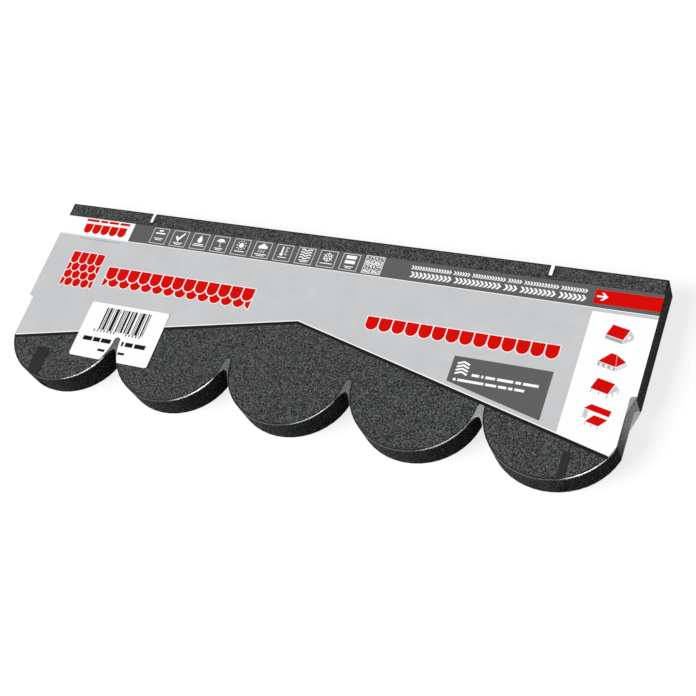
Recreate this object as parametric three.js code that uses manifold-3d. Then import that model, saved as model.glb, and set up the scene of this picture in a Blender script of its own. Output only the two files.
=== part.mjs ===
// A bundle of beaver-tail bitumen roof shingles in a shrink-film sleeve.
// Millimetres, +X along the strips, +Y from the tabs to the back edge, +Z up.
// Origin: centre of the bundle's footprint, on the floor.
import * as THREE from "three";
import { mergeVertices } from "three/addons/utils/BufferGeometryUtils.js";
import Module from "manifold-3d";

// ---- driving dimensions: one shingle strip ----
const stripLength = 1000;
const stripWidth = 317; // back edge to the tips of the tabs
const stripThickness = 2.8;
const tabCount = 5;
const tabDepth = 89; // each tab is half an ellipse, this deep
const slotWidth = 9; // gap between two tabs at their roots
const endNotchWidth = 8.5; // half-notch at each end of the strip
const endNotchReach = 48; // how far it runs behind the tab roots
const endNotchFillet = 5;
const markSlitWidth = 5; // alignment slits in the back edge
const markSlitDepth = 17;
const markSlitFromEnd = 163;

// ---- driving dimensions: the bundle ----
const stripCount = 14;
const layerGap = 0.3; // between one strip and the next
const seatGap = 0.3; // between the stack and what wraps it
const filmThickness = 0.6;
const webLeavesTab = 36; // film leaves a tab's flank this far in front of the root
const webReach = 19; // and bridges the slot this far in front of the root
const endTautReach = 30; // film is taut from the corner of an end notch to this far down its wall

// ---- driving dimensions: the sticker ----
const stickerWidth = 146;
const stickerHeight = 96;
const stickerThickness = 0.3;
const stickerCorner = 4;
const stickerLeftFromEnd = 125;
const stickerTopFromTabRoots = 54.5;
const stickerSlotMargin = 0.8; // film shoulder left bare beside the slot

// ---- how finely curves are cut ----
const tabSegments = 22;
const smallArcSegments = 6;
const webSegments = 10;

// ---- derived places ----
const tabPitch = stripLength / tabCount;
const tabHalfWidth = (tabPitch - slotWidth) / 2;
const backY = stripWidth / 2;
const tabRootY = tabDepth - stripWidth / 2; // centre line of the tab ellipses
const endNotchY = tabRootY + endNotchReach;
const wrap = seatGap + filmThickness; // stack surface to film's outer surface
const stackHeight = stripCount * stripThickness + (stripCount - 1) * layerGap;
const filmHeight = stackHeight + 2 * wrap;

const tabCentreX = (index) => (index + 0.5) * tabPitch - stripLength / 2;

const bitumen = { color: 0x454648, roughness: 0.95, metalness: 0 };
const film = { color: 0xc9cccd, roughness: 0.15, metalness: 0, transparent: true, opacity: 0.35 };
const paper = { color: 0xf6f6f4, roughness: 0.6, metalness: 0 };

/** Points of an elliptical arc, first and last included. */
function ellipseArc(cx, cy, rx, ry, from, to, segments) {
  return Array.from({ length: segments + 1 }, (_, i) => {
    const a = from + ((to - from) * i) / segments;
    return new THREE.Vector2(cx + rx * Math.cos(a), cy + ry * Math.sin(a));
  });
}

/** The same points seen in a mirror at x = 0, in reverse order. */
function mirrored(points) {
  return points.map((p) => new THREE.Vector2(-p.x, p.y)).reverse();
}

/** Extrudes a closed outline upwards from z. */
function slab(points, z, height) {
  const geometry = new THREE.ExtrudeGeometry(new THREE.Shape(points), { depth: height, bevelEnabled: false });
  return geometry.translate(0, 0, z);
}

/** Outline of one strip, clockwise from the back left corner. */
function stripOutline() {
  const end = stripLength / 2;
  const wallX = end - endNotchWidth;
  const slitLeft = end - markSlitFromEnd - markSlitWidth / 2;
  const slitRight = slitLeft + markSlitWidth;
  const rightEnd = [
    new THREE.Vector2(slitLeft, backY),
    new THREE.Vector2(slitLeft, backY - markSlitDepth),
    new THREE.Vector2(slitRight, backY - markSlitDepth),
    new THREE.Vector2(slitRight, backY),
    new THREE.Vector2(end, backY),
    new THREE.Vector2(end, endNotchY),
    ...ellipseArc(wallX + endNotchFillet, endNotchY - endNotchFillet, endNotchFillet, endNotchFillet,
      Math.PI / 2, Math.PI, smallArcSegments),
  ];
  return [...rightEnd, ...tabEdge(0, wallX, slotRoot, slotWidth / 2), ...mirrored(rightEnd)];
}

/** Rounded root of the slot at x, from its right side to its left side. */
function slotRoot(x) {
  const r = slotWidth / 2;
  return ellipseArc(x, tabRootY - r, r, r, 0, Math.PI, smallArcSegments).slice(1, -1);
}

/**
 * The row of tabs from right to left, grown outwards by offset. The end tabs start at the
 * straight flank at wallX; each tab is left at leave in front of its root, and between two
 * tabs comes join(x of the slot).
 */
function tabEdge(offset, wallX, join, leave) {
  const rx = tabHalfWidth + offset;
  const ry = tabDepth + offset;
  const inner = Math.asin(leave / ry);
  const outer = Math.acos((wallX - tabCentreX(tabCount - 1)) / rx);
  const points = [];
  for (let i = tabCount - 1; i >= 0; i -= 1) {
    const from = i === tabCount - 1 ? outer : inner;
    const to = i === 0 ? outer : inner;
    points.push(...ellipseArc(tabCentreX(i), tabRootY, rx, ry, -from, to - Math.PI, tabSegments));
    if (i > 0) points.push(...join(tabCentreX(i) - tabPitch / 2));
  }
  return points;
}

/**
 * The film's bridge across the slot at x: a pointed arch that leaves both flanks along
 * their tangents. offset is the distance of this face of the film from the stack.
 */
function webArch(x, offset) {
  const rx = tabHalfWidth + offset;
  const ry = tabDepth + offset;
  const angle = Math.asin(webLeavesTab / ry);
  const foot = new THREE.Vector2(tabPitch / 2 - rx * Math.cos(angle), tabRootY - webLeavesTab);
  const tangent = new THREE.Vector2(rx * Math.sin(angle), ry * Math.cos(angle)).normalize();
  const rise = webLeavesTab - webReach + wrap - offset;
  const handle = rise / (0.75 * tangent.y); // puts the middle of the curve at the arch's top
  const lean = foot.x - handle * tangent.x;
  const top = foot.y + handle * tangent.y;
  return new THREE.CubicBezierCurve(
    new THREE.Vector2(x + foot.x, foot.y),
    new THREE.Vector2(x + lean, top),
    new THREE.Vector2(x - lean, top),
    new THREE.Vector2(x - foot.x, foot.y),
  ).getPoints(webSegments).slice(1, -1);
}

/**
 * Outline of one face of the film, offset outside the stack: along the tabs, bridging each
 * slot, and taut across the mouth of each end notch until it lies on the notch's wall.
 */
function filmOutline(offset, endX) {
  const end = stripLength / 2;
  const wallX = end - endNotchWidth;
  const taut = new THREE.Vector2(endNotchWidth, endTautReach).normalize();
  const cornerY = endNotchY - offset / taut.x;
  const landingY = endNotchY - endTautReach - (offset * (1 - taut.y)) / taut.x;
  const rightEnd = [
    new THREE.Vector2(endX, backY + offset),
    new THREE.Vector2(endX, cornerY),
    ...(endX > end ? [new THREE.Vector2(end, cornerY)] : []),
    new THREE.Vector2(wallX + offset, landingY),
  ];
  const web = (x) => webArch(x, offset);
  return [...rightEnd, ...tabEdge(offset, wallX + offset, web, webLeavesTab), ...mirrored(rightEnd)];
}

/** Sticker outline: a rounded rectangle, cut open where the slot between two tabs passes. */
function stickerOutline() {
  const left = stickerLeftFromEnd - stripLength / 2;
  const right = left + stickerWidth;
  const top = tabRootY + stickerTopFromTabRoots;
  const bottom = top - stickerHeight;
  const r = stickerCorner;
  const corner = (x, y, from) => ellipseArc(x, y, r, r, from, from - Math.PI / 2, 4);
  const slotX = Math.round((left + right) / 2 / tabPitch + 0.5) * tabPitch - tabPitch / 2;
  const rx = tabHalfWidth - stickerSlotMargin;
  const ry = tabDepth - stickerSlotMargin;
  const reach = Math.asin((tabRootY - bottom) / ry);
  const start = Math.asin(slotWidth / 2 / ry);
  const leftFlank = ellipseArc(slotX - tabPitch / 2, tabRootY, rx, ry, -reach, -start, 8);
  const rightFlank = ellipseArc(slotX + tabPitch / 2, tabRootY, rx, ry, start - Math.PI, reach - Math.PI, 8);
  const rootRadius = slotWidth / 2 + stickerSlotMargin;
  const root = ellipseArc(slotX, tabRootY - slotWidth / 2, rootRadius, rootRadius, Math.PI, 0, smallArcSegments);
  return [
    ...corner(left + r, top - r, Math.PI),
    ...corner(right - r, top - r, Math.PI / 2),
    ...corner(right - r, bottom + r, 0),
    ...rightFlank.reverse(),
    ...root.slice(1, -1).reverse(),
    ...leftFlank.reverse(),
    ...corner(left + r, bottom + r, -Math.PI / 2),
  ];
}

const wasm = await Module();
wasm.setup();

/** A closed three.js geometry as a manifold solid. */
function solid(geometry) {
  const bare = geometry.clone();
  bare.deleteAttribute("normal");
  bare.deleteAttribute("uv");
  const merged = mergeVertices(bare, 1e-4);
  return new wasm.Manifold(new wasm.Mesh({
    numProp: 3,
    vertProperties: new Float32Array(merged.attributes.position.array),
    triVerts: new Uint32Array(merged.index.array),
  }));
}

/** A manifold solid as a three.js geometry. */
function geometryOf(manifold) {
  const mesh = manifold.getMesh();
  const geometry = new THREE.BufferGeometry();
  geometry.setAttribute("position", new THREE.BufferAttribute(mesh.vertProperties, 3));
  geometry.setIndex(new THREE.BufferAttribute(mesh.triVerts, 1));
  geometry.computeVertexNormals();
  return geometry;
}

/** The film: a sleeve closed all round the stack and open at its two ends. */
function filmGeometry() {
  const end = stripLength / 2;
  const outside = solid(slab(filmOutline(wrap, end), 0, filmHeight));
  const inside = solid(slab(filmOutline(seatGap, end + 1), filmThickness, filmHeight - 2 * filmThickness));
  return geometryOf(outside.subtract(inside));
}

const bundle = new THREE.Group();

function add(name, geometry, finish) {
  const mesh = new THREE.Mesh(geometry, new THREE.MeshStandardMaterial(finish));
  mesh.name = name;
  bundle.add(mesh);
  return mesh;
}

const outline = stripOutline();
for (let i = 0; i < stripCount; i += 1) {
  const strip = add(`shingle_${String(i + 1).padStart(2, "0")}`, slab(outline, 0, stripThickness), bitumen);
  strip.position.z = wrap + i * (stripThickness + layerGap);
}
add("shrink_film", filmGeometry(), film);
add("sticker", slab(stickerOutline(), 0, stickerThickness), paper).position.z = filmHeight + seatGap;

export default bundle;
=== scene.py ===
"""Dressed model of a bundle of beaver-tail bitumen roof shingles in a printed shrink-film sleeve.

Metres, +X along the strips, +Y from the tabs to the back edge, +Z up, floor at z = 0. Sizes on the
plan and the print are given in millimetres, and so is every value whose name ends in _mm.
"""

import logging
import math
from dataclasses import dataclass, replace
from enum import Enum
from functools import cache, partial
from itertools import cycle
from typing import Callable, Iterable, Sequence

import bpy
from bpy.types import Curve, Material, Mesh, MeshPolygon, Node, NodeSocket, NodeTree, Object
from mathutils import Matrix, Vector

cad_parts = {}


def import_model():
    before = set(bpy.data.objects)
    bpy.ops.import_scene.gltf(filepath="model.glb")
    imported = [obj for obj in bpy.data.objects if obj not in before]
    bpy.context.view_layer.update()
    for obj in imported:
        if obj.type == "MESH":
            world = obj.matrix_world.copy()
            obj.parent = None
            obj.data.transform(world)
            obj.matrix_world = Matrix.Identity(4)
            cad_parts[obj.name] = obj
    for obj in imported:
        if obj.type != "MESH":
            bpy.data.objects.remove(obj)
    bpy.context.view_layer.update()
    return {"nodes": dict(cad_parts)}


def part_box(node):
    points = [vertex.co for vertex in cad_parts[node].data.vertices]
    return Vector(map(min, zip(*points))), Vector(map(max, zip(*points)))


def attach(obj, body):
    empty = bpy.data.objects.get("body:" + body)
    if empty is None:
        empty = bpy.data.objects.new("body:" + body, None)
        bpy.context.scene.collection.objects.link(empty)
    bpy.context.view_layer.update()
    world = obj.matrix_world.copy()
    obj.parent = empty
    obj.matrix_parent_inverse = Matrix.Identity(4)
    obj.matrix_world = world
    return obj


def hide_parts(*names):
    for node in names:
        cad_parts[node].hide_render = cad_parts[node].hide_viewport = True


log = logging.getLogger("shingle_bundle")

Point = tuple[float, float]
Span = tuple[float, float]
Place = tuple[float, float, float]
Outlines = list[list[Point]]
Picture = tuple[Outlines, Outlines, Outlines]
Colour = tuple[float, float, float, float]
Source = NodeSocket | Node
Step = Callable[[], object]
CadNodes = dict[str, Object]

MM = 0.001
DULL = 0.04  # specular level of a surface that hardly shines


# ---------------------------------------------------------------- colour and nodes

def linear(hex_code: str, shade: float = 1.0) -> Colour:
    """Turns an sRGB hex value into Blender's linear colour.

    Args:
        hex_code: a hash and six hex digits.
        shade: how much lighter or darker the colour is made, up to white.

    Returns:
        Linear red, green, blue and an alpha of one.
    """
    parts = [int(hex_code[i:i + 2], 16) / 255 for i in (1, 3, 5)]
    turned = [c / 12.92 if c <= 0.04045 else ((c + 0.055) / 1.055) ** 2.4 for c in parts]
    red, green, blue = (min(c * shade, 1.0) for c in turned)
    return red, green, blue, 1.0


def grey(value: float) -> Colour:
    """A linear grey of that value."""
    return value, value, value, 1.0


def add_node(tree: NodeTree, kind: str, inputs: dict[str | int, object] | None = None,
             stops: Sequence[tuple[float, Colour]] = (), **settings: object) -> Node:
    """Adds one shader node with its settings, links and values.

    Args:
        tree: the node tree that gets the node.
        kind: the node's type, without the word ShaderNode.
        inputs: input name or number to what feeds it: an output, a node, which stands for its
            first output, or a plain value.
        stops: position and colour of each stop of a colour ramp, in order.
        settings: the node's own properties.

    Returns:
        The new node.
    """
    node = tree.nodes.new("ShaderNode" + kind)
    for name, value in settings.items():
        setattr(node, name, value)
    for name, value in (inputs or {}).items():
        source = value.outputs[0] if isinstance(value, Node) else value
        if isinstance(source, NodeSocket):
            tree.links.new(source, node.inputs[name])
        else:
            node.inputs[name].default_value = value
    for i, (position, colour) in enumerate(stops):
        elements = node.color_ramp.elements
        stop = elements[i] if i < len(elements) else elements.new(position)
        stop.position, stop.color = position, colour
    return node


def seen_rays(tree: NodeTree) -> Source:
    """One for camera, glossy and transmission rays, and zero for light that bounces.

    Args:
        tree: the node tree that asks.

    Returns:
        The output that says so.
    """
    path = add_node(tree, "LightPath")
    seen = path.outputs["Is Camera Ray"]
    for other in ("Is Glossy Ray", "Is Transmission Ray"):
        seen = add_node(tree, "Math", {0: seen, 1: path.outputs[other]}, operation="MAXIMUM")
    return seen


# ---------------------------------------------------------------- finishes

@dataclass(frozen=True)
class Finish:
    """A surface finish, which each kind shades in its own way."""

    name: str

    def make(self) -> Material:
        """Makes the finish's node material.

        Returns:
            The new material.
        """
        material = bpy.data.materials.new(self.name)
        material.use_nodes = True
        tree = material.node_tree
        tree.nodes.clear()
        add_node(tree, "OutputMaterial", {"Surface": self.shade(tree)})
        return material

    def shade(self, tree: NodeTree) -> Node:
        """Adds the finish's nodes.

        Args:
            tree: the material's node tree.

        Returns:
            The shader of the surface.
        """
        raise NotImplementedError(self.name)

    @staticmethod
    def relief(tree: NodeTree, size_mm: float, depth_mm: float, strength: float, detail: float = 2.0,
               roughness: float = 0.5) -> tuple[Node, Node]:
        """Adds soft noise and the bumps that it raises.

        Args:
            tree: the material's node tree.
            size_mm: from one bump to the next.
            depth_mm: of the bumps.
            strength: how much of that depth shows.
            detail: how many finer layers the noise has.
            roughness: how strong the finer layers are.

        Returns:
            The noise and the bumps.
        """
        place = add_node(tree, "TexCoord").outputs["Object"]
        noise = add_node(tree, "TexNoise", {
            "Vector": place, "Scale": 1 / (size_mm * MM), "Detail": detail, "Roughness": roughness})
        bump = add_node(tree, "Bump", {"Height": noise, "Strength": strength, "Distance": depth_mm * MM})
        return noise, bump


@cache
def material_of(finish: Finish) -> Material:
    """The material of a finish, made on first use."""
    return finish.make()


def paint(piece: Object, *finishes: Finish) -> None:
    """Gives a piece these finishes, in the order of its material slots."""
    piece.data.materials.clear()
    for finish in finishes:
        piece.data.materials.append(material_of(finish))


@dataclass(frozen=True)
class GranuleFelt(Finish):
    """Mineral-surfaced bitumen felt: crushed slate pressed into hot bitumen, punched to shape.

    The top is matt and speckled, stone by stone, with a faint drift of tint from clump to clump.
    The punched edge is smeared with black bitumen, so it is darker and calmer, and the sawn ends
    are painted lighter, a painted light in place of the light that they face away from. Along the
    stack's upper and lower rims the sides are painted darker, a painted shade under the film's
    shoulder and where the stack meets the floor. The back is sanded. Stones of 0.5 to 1 mm are
    drawn a little coarser, so that they show.
    """

    name: str = "slate_granules_on_bitumen"
    pit: str = "#060606"
    dark: str = "#1d1e1e"
    middle: str = "#3c3e3d"
    light: str = "#595b5a"
    flake: str = "#757776"
    smear: str = "#303231"
    roughness: float = 0.9
    grain_mm: float = 1.2
    clump_mm: float = 26.0
    relief_mm: float = 0.45
    top_relief: float = 0.6
    side_relief: float = 0.25
    edge_tone: float = 0.56
    # painted light: the sawn ends are painted lighter, in place of the light that they face away from
    sawn_end_painted_light: float = 1.4
    back_tone: float = 0.5
    # painted shade along the stack's upper and lower rims: how dark it is, how wide and how soft
    rim_painted_shade: float = 0.2
    rim_mm: float = 3.6
    rim_fade_mm: float = 0.8
    edge_calm: float = 0.25
    end_from_mm: float = 499.5
    foot_mm: float = 0.9
    top_mm: float = 44.0

    def shade(self, tree: NodeTree) -> Node:
        """Lays the stones, and darkens and calms them on the stack's sides, with painted light on the sawn
        ends and painted shade along the rims.

        Args:
            tree: the material's node tree.

        Returns:
            The shader of the surface.
        """
        place = add_node(tree, "TexCoord").outputs["Object"]
        grains = add_node(tree, "TexVoronoi", {"Vector": place, "Scale": 1 / (self.grain_mm * MM)})
        side, calm, tone = self.edges(tree, place)
        stones = self.stones(tree, place, grains.outputs["Color"])
        smeared = add_node(tree, "Mix", {0: calm, 6: stones, 7: linear(self.smear)}, data_type="RGBA")
        shaded = add_node(tree, "Mix", {0: 1.0, 6: smeared.outputs[2], 7: tone},
                          data_type="RGBA", blend_type="MULTIPLY")
        strength = add_node(tree, "MapRange", {
            "Value": side, "To Min": self.top_relief, "To Max": self.side_relief})
        bump = add_node(tree, "Bump", {
            "Height": grains.outputs["Distance"], "Strength": strength, "Distance": self.relief_mm * MM})
        return add_node(tree, "BsdfPrincipled", {
            "Base Color": shaded.outputs[2], "Normal": bump, "Roughness": self.roughness,
            "Specular IOR Level": DULL})

    def stones(self, tree: NodeTree, place: Source, cells: Source) -> Source:
        """Colours each stone, and tints the clumps.

        Args:
            tree: the material's node tree.
            place: the object coordinates.
            cells: a random colour for each stone.

        Returns:
            The colour output.
        """
        pick = add_node(tree, "SeparateColor", {"Color": cells})
        stones = add_node(tree, "ValToRGB", {"Fac": pick.outputs["Red"]}, (
            (0.0, linear(self.pit)), (0.3, linear(self.dark)), (0.55, linear(self.middle)),
            (0.8, linear(self.light)), (1.0, linear(self.flake))))
        clumps = add_node(tree, "TexNoise", {
            "Vector": place, "Scale": 1 / (self.clump_mm * MM), "Detail": 2.0, "Roughness": 0.5})
        tints = add_node(tree, "ValToRGB", {"Fac": clumps}, (
            (0.38, (1.015, 0.945, 0.955, 1.0)), (0.46, (0.99, 0.97, 0.935, 1.0)),
            (0.54, (0.95, 0.985, 0.975, 1.0)), (0.62, (0.95, 0.97, 1.01, 1.0))))
        toned = add_node(tree, "Mix", {0: 1.0, 6: stones, 7: tints}, data_type="RGBA", blend_type="MULTIPLY")
        return toned.outputs[2]

    def edges(self, tree: NodeTree, place: Source) -> tuple[Source, ...]:
        """Tells the stack's sides from its top and its back.

        Args:
            tree: the material's node tree.
            place: the object coordinates.

        Returns:
            Outputs that say how far a point is on a side, how calm the speckle is there, and
            how bright the stones are, with painted light on the sawn ends and painted shade along the rims.
        """
        facing = add_node(tree, "SeparateXYZ", {0: add_node(tree, "NewGeometry").outputs["Normal"]})
        slope = add_node(tree, "Math", {0: facing.outputs["Z"]}, operation="ABSOLUTE")
        side = add_node(tree, "ValToRGB", {"Fac": slope}, ((0.4, grey(1.0)), (0.6, grey(0.0))))
        at = add_node(tree, "SeparateXYZ", {0: place})
        along = add_node(tree, "Math", {0: at.outputs["X"]}, operation="ABSOLUTE")
        sawn = add_node(tree, "Math", {0: along, 1: self.end_from_mm * MM}, operation="GREATER_THAN")
        calm = add_node(tree, "MapRange", {"Value": sawn, "To Min": self.edge_calm, "To Max": 0.0})
        calm_side = add_node(tree, "Math", {0: side, 1: calm}, operation="MULTIPLY")
        # The punched edges are darker, and the sawn ends are painted lighter, a painted light.
        cut_tone_and_painted_end_light = add_node(tree, "MapRange", {
            "Value": sawn, "To Min": self.edge_tone, "To Max": self.sawn_end_painted_light})
        # Painted shade: the sides darken along the stack's upper and lower rims, under the film's shoulder
        # and where the stack meets the floor.
        middle = (self.foot_mm + self.top_mm) / 2 * MM
        height = add_node(tree, "Math", {0: at.outputs["Z"], 1: middle}, operation="SUBTRACT")
        off_middle = add_node(tree, "Math", {0: height}, operation="ABSOLUTE")
        painted_rim_shade_from = ((self.top_mm - self.foot_mm) / 2 - self.rim_mm) * MM
        rim = add_node(tree, "MapRange", {
            "Value": off_middle, "From Min": painted_rim_shade_from, "From Max": painted_rim_shade_from + self.rim_fade_mm * MM,
            "To Min": 1.0, "To Max": self.rim_painted_shade})
        side_tone = add_node(tree, "Math", {0: cut_tone_and_painted_end_light, 1: rim}, operation="MULTIPLY")
        flat_tone = add_node(tree, "MapRange", {
            "Value": facing.outputs["Z"], "From Min": -0.1, "From Max": 0.1, "To Min": self.back_tone})
        tone = add_node(tree, "Mix", {0: side, 2: flat_tone, 3: side_tone}, data_type="FLOAT")
        return side, calm_side, tone


@dataclass(frozen=True)
class BareBitumen(Finish):
    """The rim of a punched edge, where the stones have crumbled off and black bitumen shows."""

    name: str = "bare_bitumen_rim"
    dark: str = "#0e0e0e"
    light: str = "#242424"
    roughness: float = 0.7
    crumb_mm: float = 2.5
    crumb_depth_mm: float = 0.3

    def shade(self, tree: NodeTree) -> Node:
        """Makes black crumbs of bitumen.

        Args:
            tree: the material's node tree.

        Returns:
            The shader of the surface.
        """
        crumbs, bump = self.relief(tree, self.crumb_mm, self.crumb_depth_mm, strength=0.5, detail=3.0)
        tone = add_node(tree, "ValToRGB", {"Fac": crumbs}, (
            (0.4, linear(self.dark)), (0.65, linear(self.light))))
        return add_node(tree, "BsdfPrincipled", {
            "Base Color": tone, "Normal": bump, "Roughness": self.roughness, "Specular IOR Level": DULL})


class Along(Enum):
    """What a film's milkiness follows: a place on the bundle, or the way a wall faces, which is how the
    shoulders get a painted highlight.
    """

    PLACE = "place"
    FACING = "facing"


@dataclass(frozen=True)
class MilkinessAndPaintedHighlight:
    """How the share of light that a film hides changes over a span, which by place gives the film its
    milkiness and by facing gives the shoulders a painted highlight.

    The span is read along a direction: in metres for a place, or as the cosine between the
    direction and the wall's outward side.
    """

    follows: Along
    direction: Place
    span: Span
    cover: Span

    def share(self, tree: NodeTree) -> Node:
        """Works out the share that the film hides.

        Args:
            tree: the film's node tree.

        Returns:
            The node that says the share.
        """
        if self.follows is Along.PLACE:
            read = add_node(tree, "TexCoord").outputs["Object"]
        else:
            # Read by the way a wall faces, the share paints a highlight on the film's shoulders.
            normal = add_node(tree, "NewGeometry").outputs["Normal"]
            level = add_node(tree, "VectorMath", {0: normal, 1: (1, 1, 0)}, operation="MULTIPLY")
            read = add_node(tree, "VectorMath", {0: level}, operation="NORMALIZE")
        along = add_node(tree, "VectorMath", {0: read, 1: self.direction}, operation="DOT_PRODUCT")
        return add_node(tree, "MapRange", {
            "Value": along.outputs["Value"], "From Min": self.span[0], "From Max": self.span[1],
            "To Min": self.cover[0], "To Max": self.cover[1]}, interpolation_type="SMOOTHSTEP")


@dataclass(frozen=True)
class ShrinkFilm(Finish):
    """Blown polyethylene shrink film: clear and glossy on the stack, clouded where it is stretched, and
    painted white on its shoulders as a highlight.

    Cover is how much each face of the sheet hides, unless the field for milkiness and painted highlight says
    how it changes.
    """

    tint: str = "#e8ecec"
    cover: float = 0.008
    roughness: float = 0.2
    ripple_mm: float = 14.0
    ripple_depth_mm: float = 0.1
    gloss: float = 0.5
    milkiness_and_highlight: MilkinessAndPaintedHighlight | None = None

    def shade(self, tree: NodeTree) -> Node:
        """Makes a glossy, slightly rippled sheet that hides little.

        Args:
            tree: the material's node tree.

        Returns:
            The shader of the surface.
        """
        bump = self.relief(tree, self.ripple_mm, self.ripple_depth_mm, strength=0.4)[1]
        return add_node(tree, "BsdfPrincipled", {
            "Base Color": linear(self.tint), "Roughness": self.roughness, "IOR": 1.5,
            "Specular IOR Level": self.gloss, "Normal": bump,
            "Alpha": self.milkiness_and_highlight.share(tree) if self.milkiness_and_highlight else self.cover})


def shoulder_with_painted_highlight(name: str, gloss: float, cover: float) -> ShrinkFilm:
    """A film shoulder painted white where it faces the front right, a painted highlight that hides up to
    cover there.
    """
    milkiness_and_highlight = MilkinessAndPaintedHighlight(Along.FACING, (0.72, -0.69, 0), (0.86, 0.985), (0.06, cover))
    return ShrinkFilm(name, tint="#ffffff", roughness=0.25, ripple_depth_mm=0.2, gloss=gloss, milkiness_and_highlight=milkiness_and_highlight)


class Film(Enum):
    """The finishes of the film, by what it does there. All but the first are on its folds."""

    CLEAR = ShrinkFilm("clear_shrink_film")
    WALL = ShrinkFilm("wall_shrink_film", cover=0.005, roughness=0.15, ripple_depth_mm=0.3)
    WEB = ShrinkFilm("web_shrink_film", tint="#e4e9e4", roughness=0.25, ripple_depth_mm=0.3,
                     milkiness_and_highlight=MilkinessAndPaintedHighlight(Along.PLACE, (1, 0, 0), (0.12, 0.3), (0.095, 0.26)))
    # The shoulders are painted white as a highlight where they face the front right.
    SHOULDER = shoulder_with_painted_highlight("shoulder_shrink_film", 0.45, 0.9)
    END_WALL = ShrinkFilm("end_wall_shrink_film", tint="#dfe4e1", ripple_depth_mm=0.3,
                          milkiness_and_highlight=MilkinessAndPaintedHighlight(Along.PLACE, (0, 1, 0.3), (-0.1, -0.02), (0.02, 0.42)))
    NICK = ShrinkFilm("nick_shrink_film", tint="#ffffff", cover=0.8, roughness=0.3)
    LOOSE_SHOULDER = shoulder_with_painted_highlight("glossy_shoulder_film_painted_highlight", 0.8, 0.9)
    TIGHT_SHOULDER = shoulder_with_painted_highlight("dim_shoulder_film_painted_highlight", 0.25, 0.5)


@dataclass(frozen=True)
class FilmInk(Finish):
    """Flexographic ink printed on the film: solid colour under the film's gloss."""

    colour: str
    roughness: float = 0.35
    mottle: float = 0.03
    gloss: float = DULL
    cloud_mm: float = 35.0
    slack_mm: float = 22.0
    slack_depth_mm: float = 0.4

    def shade(self, tree: NodeTree) -> Node:
        """Makes a faintly mottled ink on a film that is a little slack.

        Args:
            tree: the material's node tree.

        Returns:
            The shader of the surface.
        """
        place = add_node(tree, "TexCoord").outputs["Object"]
        cloud = add_node(tree, "TexNoise", {
            "Vector": place, "Scale": 1 / (self.cloud_mm * MM), "Detail": 4.0, "Roughness": 0.6})
        bump = self.relief(tree, self.slack_mm, self.slack_depth_mm, strength=0.25, roughness=0.4)[1]
        tone = add_node(tree, "ValToRGB", {"Fac": cloud}, (
            (0.35, linear(self.colour, 1 - self.mottle)), (0.65, linear(self.colour, 1 + self.mottle))))
        return add_node(tree, "BsdfPrincipled", {
            "Base Color": tone, "Normal": bump, "Roughness": self.roughness,
            "Specular IOR Level": self.gloss})


class Ink(Enum):
    """The inks on the film and the sticker, and the sticker's paper."""

    LIGHT_GREY = FilmInk("ink_light_grey", "#c9cacc")
    DARK_GREY = FilmInk("ink_dark_grey", "#606061")
    WHITE = FilmInk("ink_white", "#fefefe", mottle=0.01)
    RED = FilmInk("ink_red", "#d60a05")
    BLACK = FilmInk("ink_black", "#1c1c1c")
    MARK = FilmInk("ink_register_mark", "#333334", gloss=0.0)
    FRAME = FilmInk("ink_frame_grey", "#cbccce")
    SHADE = FilmInk("ink_shade_grey", "#a9abad")
    PAPER = FilmInk("label_paper", "#fefefe", roughness=0.55, mottle=0.01)
    TONER = FilmInk("label_print_black", "#141414", roughness=0.5)


@dataclass(frozen=True)
class WhiteFloor(Finish):
    """Matt white paint that is seen as white, takes a shadow, and throws little light back."""

    name: str = "white_floor"
    bounce: float = 0.25
    glow: float = 0.78

    def shade(self, tree: NodeTree) -> Node:
        """Adds a glow, for rays that see the floor, to paint that takes the shadow.

        Args:
            tree: the material's node tree.

        Returns:
            The shader of the surface.
        """
        paint_coat = add_node(tree, "BsdfDiffuse", {"Color": grey(self.bounce)})
        glow = add_node(tree, "Emission", {"Color": grey(1.0), "Strength": self.glow})
        lit = add_node(tree, "MixShader", {0: seen_rays(tree), 2: glow})
        return add_node(tree, "AddShader", {0: paint_coat, 1: lit})


# ---------------------------------------------------------------- meshes

class Pick(Enum):
    """What an edit-mode step is for."""

    VERTICES = "VERT"
    FACES = "FACE"


def deselect() -> None:
    """Leaves edit mode and deselects everything."""
    if bpy.context.object and bpy.context.object.mode != "OBJECT":
        bpy.ops.object.mode_set(mode="OBJECT")
    bpy.ops.object.select_all(action="DESELECT")


def make_active(piece: Object) -> None:
    """Selects only this piece and makes it active.

    Args:
        piece: the piece.
    """
    deselect()
    piece.select_set(True)
    bpy.context.view_layer.objects.active = piece


def new_object(name: str, data: Mesh | Curve) -> Object:
    """Puts a mesh or a curve into the scene and makes it active.

    Args:
        name: the object's name.
        data: its mesh or curve.

    Returns:
        The new object.
    """
    piece = bpy.data.objects.new(name, data)
    bpy.context.scene.collection.objects.link(piece)
    make_active(piece)
    return piece


def modify(piece: Object, kind: str, **settings: object) -> None:
    """Adds a modifier with its settings and applies it.

    Args:
        piece: the mesh object.
        kind: the modifier's type.
        settings: its properties.
    """
    modifier = piece.modifiers.new(kind, kind)
    for name, value in settings.items():
        setattr(modifier, name, value)
    make_active(piece)
    bpy.ops.object.modifier_apply(modifier=modifier.name)


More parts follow.
